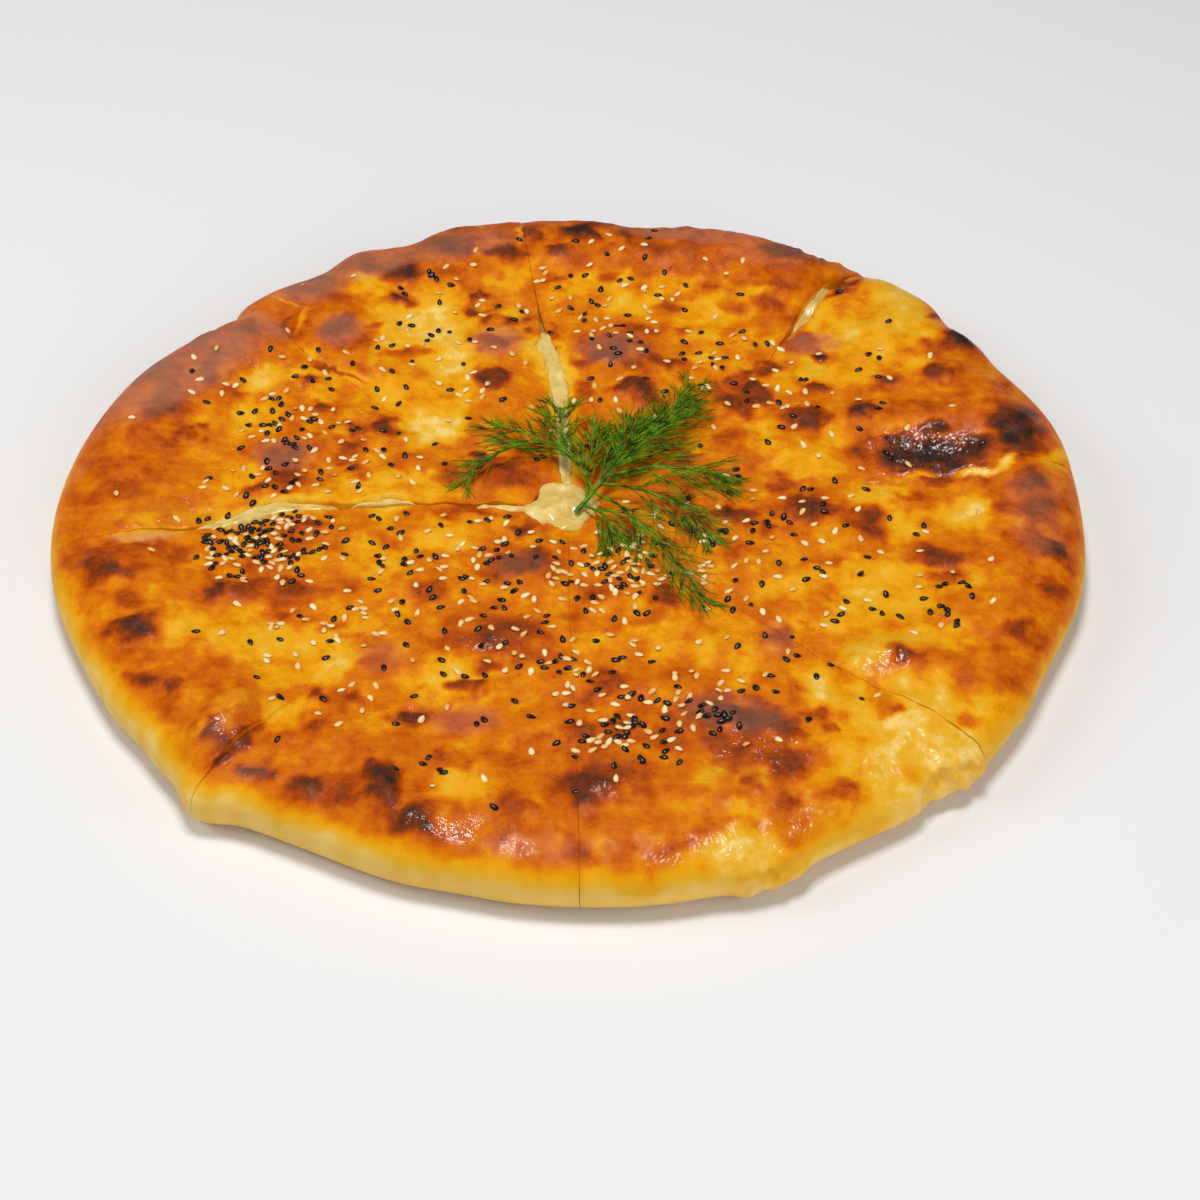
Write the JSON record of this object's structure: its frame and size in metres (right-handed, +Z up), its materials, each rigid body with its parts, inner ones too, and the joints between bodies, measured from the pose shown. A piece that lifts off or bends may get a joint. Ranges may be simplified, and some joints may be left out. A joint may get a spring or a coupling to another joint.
{
  "type": "filled round bread pie",
  "caption": "Large flat round pie of golden baked dough with a soft pale filling, cut into wedges that still lie together, with sesame seeds and a dill sprig on top.",
  "frame": {"origin": "centre of the pie's bounding box, on its flat underside", "axes": "+Z up out of the baked top, +Y away from the viewer, +X to the viewer's right"},
  "size_m": [0.3202, 0.3237, 0.0256],
  "materials": {
    "baked_crust": "glossy egg-washed baked dough",
    "soft_filling": "soft melted cheese filling",
    "dill_leaf": "fresh satin leaf"
  },
  "bodies": {
    "root": {"crust_1": "baked_crust", "crust_2": "baked_crust", "crust_3": "baked_crust", "crust_4": "baked_crust", "crust_5": "baked_crust", "crust_6": "baked_crust", "crust_7": "baked_crust", "crust_8": "baked_crust", "filling_1": "soft_filling", "filling_2": "soft_filling", "filling_3": "soft_filling", "filling_4": "soft_filling", "filling_5": "soft_filling", "filling_6": "soft_filling", "filling_7": "soft_filling", "filling_8": "soft_filling", "melted_middle": "soft_filling", "dill_sprig": "dill_leaf"}
  },
  "joints": []
}
